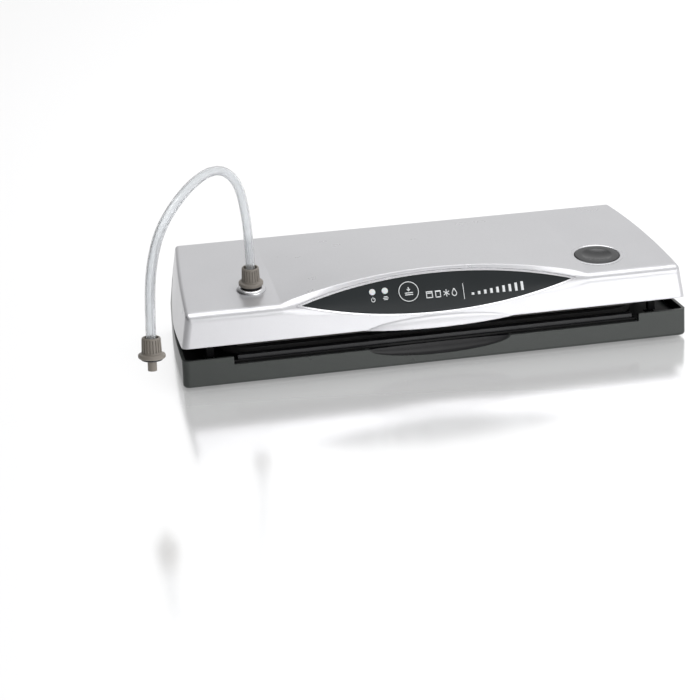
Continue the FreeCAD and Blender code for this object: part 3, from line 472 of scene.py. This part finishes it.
# %% The moulded recipe
def shade(colour, factor):
    return tuple(min(1.0, c * factor) for c in colour) + (1.0,)


def moulded(name, colour, rough, edge=0.3, grain=900.0, depth=0.02, drift=0.06, wear=0.25, dust=0.05, **values):
    """A moulded finish. edge and depth are in millimetres, drift is the colour's share either way."""
    material, shader = finish(name, colour, **values)
    tree = material.node_tree
    edges = group_node(tree, soft_edge, {"Radius": edge * MM, "Gain": 3.0})
    texture = group_node(tree, moulded_grain, {"Scale": grain})
    dusty = group_node(tree, settled_dust, {"Amount": dust})
    tone = blend_colours(tree, texture.outputs["Patches"], shade(colour, 1 - drift), shade(colour, 1 + drift))
    rubbed = add(tree, "ShaderNodeMath", {0: edges.outputs["Wear"], 1: wear}, operation="MULTIPLY")
    pale = tuple(c + (1 - c) * 0.35 for c in colour) + (1.0,)
    tone = blend_colours(tree, rubbed.outputs[0], tone, pale)
    tone = blend_colours(tree, dusty.outputs["Mask"], tone, (0.42, 0.41, 0.39, 1.0))
    gloss = add(tree, "ShaderNodeMapRange", {"Value": texture.outputs["Patches"], "To Min": rough * 0.9,
                                             "To Max": rough * 1.1})
    dull = add(tree, "ShaderNodeMath", {0: dusty.outputs["Mask"], 1: gloss.outputs["Result"]}, operation="ADD",
               use_clamp=True)
    bump = add(tree, "ShaderNodeBump", {"Strength": 0.6, "Distance": depth * MM, "Height": texture.outputs["Height"],
                                        "Normal": edges.outputs["Normal"]})
    tree.links.new(tone, shader.inputs["Base Color"])
    tree.links.new(dull.outputs[0], shader.inputs["Roughness"])
    tree.links.new(bump.outputs["Normal"], shader.inputs["Normal"])
    return material, shader, tone, bump


charcoal, charcoal_shader, charcoal_tone, _ = moulded("charcoal", (0.043, 0.048, 0.045), 0.3, edge=0.5, depth=0.012,
                                                      Specular_IOR_Level=0.3)
black = moulded("black plastic", (0.004, 0.004, 0.0045), 0.4, edge=0.25, dust=0.0, Specular_IOR_Level=0.15)[0]
dark_liner = moulded("liner plastic", (0.012, 0.012, 0.0125), 0.5, grain=1400, depth=0.03, Specular_IOR_Level=0.25)[0]
film = moulded("panel film", (0.0125, 0.0158, 0.0175), 0.3, edge=0.15, grain=2500, depth=0.003, wear=0.1, dust=0.0,
               Specular_IOR_Level=0.25)[0]
smoked = moulded("smoked button", (0.010, 0.0105, 0.012), 0.2, edge=0.2, grain=2500, depth=0.001, wear=0.1,
                 dust=0.02)[0]
taupe = moulded("taupe plastic", (0.205, 0.183, 0.158), 0.42, edge=0.25, depth=0.015, wear=0.35)[0]
pump_white = moulded("pump plastic", (0.62, 0.61, 0.56), 0.45, depth=0.03)[0]
component = moulded("component plastic", (0.03, 0.03, 0.032), 0.5, edge=0.15)[0]
ink = moulded("white ink", (0.76, 0.78, 0.79), 0.45, edge=0.03, grain=3000, depth=0.004, wear=0.0, dust=0.0)[0]
print("moulded finishes:", len(bpy.data.materials))

# %% [markdown]
# ## The finger scoop's shade
# The scoop under the lid's lip is polished, and it faces down into shadow, so it reads much darker than the
# base. That shadow is painted into the base's colour: a mask on Object coordinates finds the scoop, inside its
# ellipse across and up, and from just behind the base's flat front to a little way in, and blends it to near black.

# %% Painted shade in the scoop
tree = charcoal.node_tree
where = add(tree, "ShaderNodeTexCoord")
centred = add(tree, "ShaderNodeVectorMath", {0: where.outputs["Object"], 1: (0, 0, 0.0172)}, operation="SUBTRACT")
scaled = add(tree, "ShaderNodeVectorMath", {0: centred.outputs[0], 1: (1 / 0.0545, 0, 1 / 0.0085)},
             operation="MULTIPLY")
reach = add(tree, "ShaderNodeVectorMath", {0: scaled.outputs[0]}, operation="LENGTH")
inside = add(tree, "ShaderNodeMapRange", {"Value": reach.outputs["Value"], "From Min": 0.97, "From Max": 1.0,
                                          "To Min": 1.0, "To Max": 0.0})
parts = add(tree, "ShaderNodeSeparateXYZ", {0: where.outputs["Object"]})
behind = add(tree, "ShaderNodeMapRange", {"Value": parts.outputs["Y"], "From Min": -0.07425, "From Max": -0.07405})
before = add(tree, "ShaderNodeMath", {0: parts.outputs["Y"], 1: -0.05}, operation="LESS_THAN")
across = add(tree, "ShaderNodeMath", {0: inside.outputs["Result"], 1: before.outputs[0]}, operation="MULTIPLY")
scoop_shade_mask = add(tree, "ShaderNodeMath", {0: across.outputs[0], 1: behind.outputs["Result"]}, operation="MULTIPLY")
# Painted shade: where the mask holds, the base's colour is blended to near black, standing for the shadow in the
# scoop.
shaded = blend_colours(tree, scoop_shade_mask.outputs[0], charcoal_tone, (0.002, 0.002, 0.003, 1.0))
tree.links.new(shaded, charcoal_shader.inputs["Base Color"])
print("scoop shaded")

# %% [markdown]
# ## Silver paint
# The lid is sprayed with fine aluminium flake under a thin clear coat. Voronoi cells a fifth of a millimetre
# wide stand for flakes: each lifts the colour towards a near-white by its own amount, which is painted sparkle,
# the glint of flakes that face the light. The mould leaves one very shallow ring-shaped step around the release
# button, which a distance from the button's middle draws.

# %% Silver paint
silver_colour = (0.55, 0.55, 0.568)
silver, silver_shader, silver_tone, silver_bump = moulded(
    "silver paint", silver_colour, 0.3, edge=1.4, grain=60, depth=0.02, drift=0.015, wear=0.2, dust=0.04,
    Metallic=0.6, Coat_Weight=0.25, Coat_Roughness=0.12)
tree = silver.node_tree
where = add(tree, "ShaderNodeTexCoord")
cells = add(tree, "ShaderNodeTexVoronoi", {"Vector": where.outputs["Object"], "Scale": 4500.0})
# Painted sparkle: each flake cell lifts the colour towards near-white, standing for the glint of flakes that face the
# light.
painted_flake_glint = add(tree, "ShaderNodeMapRange", {"Value": cells.outputs["Color"], "To Min": 0.0, "To Max": 0.16})
silver_with_painted_glint = blend_colours(tree, painted_flake_glint.outputs["Result"], silver_tone, (0.92, 0.92, 0.94, 1.0))
tree.links.new(silver_with_painted_glint, silver_shader.inputs["Base Color"])
reach = add(tree, "ShaderNodeVectorMath", {0: where.outputs["Object"], 1: tuple(button_place)}, operation="DISTANCE")
step = add(tree, "ShaderNodeMapRange", {"Value": reach.outputs["Value"], "From Min": 0.0232, "From Max": 0.0241},
           interpolation_type="SMOOTHSTEP")
seat = add(tree, "ShaderNodeBump", {"Strength": 0.7, "Distance": 0.12 * MM, "Height": step.outputs["Result"],
                                    "Normal": silver_bump.outputs["Normal"]})
tree.links.new(seat.outputs["Normal"], silver_shader.inputs["Normal"])
print("silver paint:", len(tree.nodes), "nodes")

# %% [markdown]
# ## Metals
# The trim is plated plastic, almost mirror-like. Spindles, screws, pins and springs are plain steel with
# fine drawn lines, made by a noise that is stretched along one direction. The heating ribbon and the
# windings have their own colours.


# %% Metal recipe
def metal(name, colour, rough, stretch=(1, 1, 40), edge=0.15, depth=0.004):
    """A metal with fine lines along X and Y, from a noise squeezed along Z."""
    material, shader = finish(name, colour, Metallic=1.0)
    tree = material.node_tree
    where = add(tree, "ShaderNodeTexCoord")
    squeezed = add(tree, "ShaderNodeMapping", {"Vector": where.outputs["Object"], "Scale": stretch})
    lines = add(tree, "ShaderNodeTexNoise", {"Vector": squeezed.outputs["Vector"], "Scale": 90.0, "Detail": 4.0})
    edges = group_node(tree, soft_edge, {"Radius": edge * MM, "Gain": 3.0})
    tone = blend_colours(tree, lines.outputs["Fac"], shade(colour, 0.88), shade(colour, 1.08))
    tone = blend_colours(tree, edges.outputs["Wear"], tone, shade(colour, 1.2))
    gloss = add(tree, "ShaderNodeMapRange", {"Value": lines.outputs["Fac"], "To Min": rough * 0.75,
                                             "To Max": rough * 1.25})
    bump = add(tree, "ShaderNodeBump", {"Strength": 0.4, "Distance": depth * MM, "Height": lines.outputs["Fac"],
                                        "Normal": edges.outputs["Normal"]})
    tree.links.new(tone, shader.inputs["Base Color"])
    tree.links.new(gloss.outputs["Result"], shader.inputs["Roughness"])
    tree.links.new(bump.outputs["Normal"], shader.inputs["Normal"])
    return material


bright = metal("bright trim", (0.70, 0.70, 0.72), 0.26, stretch=(1, 1, 1), depth=0.001)
steel = metal("steel", (0.56, 0.56, 0.57), 0.3)
ribbon = metal("heating ribbon", (0.62, 0.5, 0.36), 0.34, stretch=(1, 30, 1))
print("metals ready")

# %% [markdown]
# ## Rubber and foam
# The seal rings are closed-cell foam, whose cut cells show as small pits: Voronoi distance makes them. Feet,
# the sealing strip and the air tubes are smooth silicone or rubber with little gloss.

# %% Rubber and foam
rubber = moulded("foot rubber", (0.022, 0.022, 0.023), 0.68, edge=0.4, grain=1600, depth=0.05, dust=0.12)[0]
silicone = moulded("silicone", (0.010, 0.0105, 0.012), 0.36, edge=0.5, grain=700, depth=0.015, dust=0.02,
                   Specular_IOR_Level=0.35)[0]
foam, foam_shader, foam_tone, foam_bump = moulded("seal foam", (0.022, 0.022, 0.022), 0.85, edge=0.8, grain=1400,
                                                  depth=0.06, dust=0.03)
tree = foam.node_tree
where = add(tree, "ShaderNodeTexCoord")
cells = add(tree, "ShaderNodeTexVoronoi", {"Vector": where.outputs["Object"], "Scale": 1500.0})
pits = add(tree, "ShaderNodeBump", {"Strength": 0.7, "Distance": 0.15 * MM, "Height": cells.outputs["Distance"],
                                    "Normal": foam_bump.outputs["Normal"]})
tree.links.new(pits.outputs["Normal"], foam_shader.inputs["Normal"])
print("rubber, silicone and foam ready")

# %% [markdown]
# ## Striped and woven finishes
# Windings and stacked laminations are stripes, and the non-stick tape is a fine weave. A Wave texture in
# bands draws stripes along one direction. Its phase is twenty times its scale, so the scale for a pitch is
# worked out from that. Two crossed waves multiply into a weave.


# %% Stripes and weave
def bands(tree, where, direction, pitch_mm):
    """A Wave texture in bands across one direction, with a pitch in millimetres."""
    scale = 2 * math.pi / (20 * pitch_mm * MM)
    return add(tree, "ShaderNodeTexWave", {"Vector": where.outputs["Object"], "Scale": scale}, wave_type="BANDS",
               bands_direction=direction).outputs["Fac"]


def striped(name, dark, light, direction, pitch_mm, cross=None, **values):
    material, shader = finish(name, light, **values)
    tree = material.node_tree
    where = add(tree, "ShaderNodeTexCoord")
    stripes = bands(tree, where, direction, pitch_mm)
    if cross:
        other = bands(tree, where, cross, pitch_mm)
        stripes = add(tree, "ShaderNodeMath", {0: stripes, 1: other}, operation="MULTIPLY").outputs[0]
    texture = group_node(tree, moulded_grain, {"Scale": 500.0})
    tone = blend_colours(tree, stripes, (*dark, 1.0), (*light, 1.0))
    tone = blend_colours(tree, texture.outputs["Patches"], tone, shade(dark, 1.5))
    bump = add(tree, "ShaderNodeBump", {"Strength": 0.6, "Distance": 0.1 * MM, "Height": stripes})
    gloss = add(tree, "ShaderNodeMapRange", {"Value": texture.outputs["Patches"], "To Min": 0.3, "To Max": 0.45})
    tree.links.new(tone, shader.inputs["Base Color"])
    tree.links.new(gloss.outputs["Result"], shader.inputs["Roughness"])
    tree.links.new(bump.outputs["Normal"], shader.inputs["Normal"])
    return material


copper = striped("copper winding", (0.25, 0.08, 0.03), (0.78, 0.36, 0.18), "X", 0.6, Metallic=0.85)
laminations = striped("laminations", (0.10, 0.10, 0.10), (0.34, 0.34, 0.34), "Y", 0.9, Metallic=0.8)
tape = striped("non-stick tape", (0.012, 0.010, 0.008), (0.05, 0.04, 0.03), "X", 0.9, cross="Y")
print("striped finishes ready")

# %% [markdown]
# ## Circuit board
# The board is green laminate with paler copper tracks under its mask. A Brick texture on a small scale gives
# straight runs with gaps, which is all that shows between the parts soldered on it.

# %% Circuit board
board, board_shader = finish("circuit board", (0.02, 0.10, 0.035))
tree = board.node_tree
where = add(tree, "ShaderNodeTexCoord")
tracks = add(tree, "ShaderNodeTexBrick", {"Vector": where.outputs["Object"], "Scale": 160.0, "Mortar Size": 0.06,
                                          "Color1": (0.015, 0.09, 0.03, 1), "Color2": (0.02, 0.11, 0.04, 1),
                                          "Mortar": (0.05, 0.22, 0.08, 1)})
texture = group_node(tree, moulded_grain, {"Scale": 700.0})
gloss = add(tree, "ShaderNodeMapRange", {"Value": texture.outputs["Patches"], "To Min": 0.25, "To Max": 0.4})
bump = add(tree, "ShaderNodeBump", {"Strength": 0.4, "Distance": 0.03 * MM, "Height": tracks.outputs["Fac"]})
tree.links.new(tracks.outputs["Color"], board_shader.inputs["Base Color"])
tree.links.new(gloss.outputs["Result"], board_shader.inputs["Roughness"])
tree.links.new(bump.outputs["Normal"], board_shader.inputs["Normal"])
print("board:", len(tree.nodes), "nodes")

# %% [markdown]
# ## Clear pieces
# The hose is clear vinyl with a faint blue-grey cast and a slightly hazed skin. The lamps' lenses are frosted
# and pale, with cloudy light inside.

# %% Clear vinyl and frosted lens
clear, clear_shader = finish("clear vinyl", (0.90, 0.915, 0.93), IOR=1.38, Transmission_Weight=0.85)
tree = clear.node_tree
where = add(tree, "ShaderNodeTexCoord")
haze = add(tree, "ShaderNodeTexNoise", {"Vector": where.outputs["Object"], "Scale": 90.0, "Detail": 3.0})
gloss = add(tree, "ShaderNodeMapRange", {"Value": haze.outputs["Fac"], "To Min": 0.10, "To Max": 0.15})
tree.links.new(gloss.outputs["Result"], clear_shader.inputs["Roughness"])
hose_curve.materials.append(clear)
lens = moulded("frosted lens", (0.70, 0.72, 0.73), 0.35, edge=0.3, grain=1800, depth=0.02, wear=0.0, dust=0.0,
               Subsurface_Weight=0.3, Subsurface_Scale=0.002)[0]
print("clear pieces ready")

# %% [markdown]
# ## Finishes on pieces
# Every CAD node and every new piece gets its finish here, in one table, so that nothing keeps a plain
# colour.

# %% Finishes on pieces
coats = {
    silver: ["lid_shell"],
    charcoal: ["base_shell", "bottom_cover"],
    black: ["base_tray", "latch_post_left", "latch_post_right", "bar_carrier", "lead_inlet", "switch_plunger"],
    dark_liner: ["lid_liner", "motor_cradle"],
    film: ["control_panel", "seal_key"],
    bright: ["panel_bezel", "port_ring", "release_rim"],
    smoked: ["release_button"],
    taupe: ["port_fitting", "canister_fitting"],
    lens: ["power_lens", "sealing_lens", "indicator_leds"],
    foam: ["base_gasket", "lid_gasket"],
    silicone: ["sealing_strip", "port_tube", "pump_tube", "port_oring", "canister_oring"],
    rubber: ["foot_front_left", "foot_front_right", "foot_rear_left", "foot_rear_right"],
    steel: ["cover_screws", "lid_screws", "hinge_pin_left", "hinge_pin_right", "catch_clip_left",
            "catch_clip_right", "motor_shaft", "release_spring", "pump_motor"],
    pump_white: ["pump_head", "pump_crank", "port_nozzle", "valve_seat", "valve_stem"],
    component: ["key_switch", "board_components"],
    board: ["circuit_board"],
    copper: ["transformer_coil"],
    laminations: ["transformer_core"],
    tape: ["release_tape"],
    ribbon: ["heating_element"],
    clear: ["hose"],
}
dressed = set()
for coat, names in coats.items():
    for name in names:
        nodes[name].data.materials.clear()
        nodes[name].data.materials.append(coat)
        dressed.add(name)
made_pieces = {port_cap: taupe, canister_cap: taupe, port_collar: bright, button_rim: bright, button_disc: smoked,
               release_coil: steel, panel_marks: ink, key_marks: ink}
for made, coat in made_pieces.items():
    made.data.materials.append(coat)
print("dressed", len(dressed), "of", len(nodes), "left:", sorted(set(nodes) - dressed))

# %% [markdown]
# ## Floor and light
# The floor is one wide, pale, polished sheet, which picks up a soft reflection of the base. A large panel in
# front and to the right whitens the lid's front face, and a broad one above and behind grades the top. The
# world is white on the right and greyer on the left, so that the left end falls into shade.

# %% Floor
bm = bmesh.new()
bmesh.ops.create_grid(bm, x_segments=2, y_segments=2, size=6.0)
floor_mesh = bpy.data.meshes.new("floor")
bm.to_mesh(floor_mesh)
bm.free()
floor = bpy.data.objects.new("floor", floor_mesh)
scene.collection.objects.link(floor)
floor_white, floor_shader = finish("floor white", (0.97, 0.97, 0.975), Metallic=0.7, Roughness=0.16)
floor_shader.inputs["Emission Color"].default_value = (1, 1, 1, 1)
floor_shader.inputs["Emission Strength"].default_value = 0.24
floor_mesh.materials.append(floor_white)
print("floor", [round(v, 2) for v in floor.dimensions])


# %% Lights
def softbox(name, place, target, width, height, watts):
    """A rectangular area light that faces a target."""
    data = bpy.data.lights.new(name, "AREA")
    data.shape = "RECTANGLE"
    data.size, data.size_y = width, height
    data.energy = watts
    lamp = bpy.data.objects.new(name, data)
    scene.collection.objects.link(lamp)
    way = Vector(target) - Vector(place)
    lamp.matrix_world = Matrix.Translation(place) @ way.to_track_quat("-Z", "Y").to_matrix().to_4x4()
    return lamp


softbox("front panel", (1.1, -2.0, 0.8), (0.1, 0, 0.05), 2.0, 1.2, 15)
softbox("top panel", (0.1, 0.3, 1.9), (0, 0, 0.05), 1.8, 1.6, 20)
world = bpy.data.worlds.new("studio")
scene.world = world
world.use_nodes = True
tree = world.node_tree
where = add(tree, "ShaderNodeTexCoord")
parts = add(tree, "ShaderNodeSeparateXYZ", {0: where.outputs["Generated"]})
fade = add(tree, "ShaderNodeMapRange", {"Value": parts.outputs["X"], "From Min": -0.9, "From Max": 0.3,
                                        "To Min": 0.05, "To Max": 0.82}, interpolation_type="SMOOTHSTEP")
background = tree.nodes["Background"]
background.inputs["Color"].default_value = (1, 1, 1, 1)
tree.links.new(fade.outputs["Result"], background.inputs["Strength"])
scene.view_settings.view_transform = "Standard"
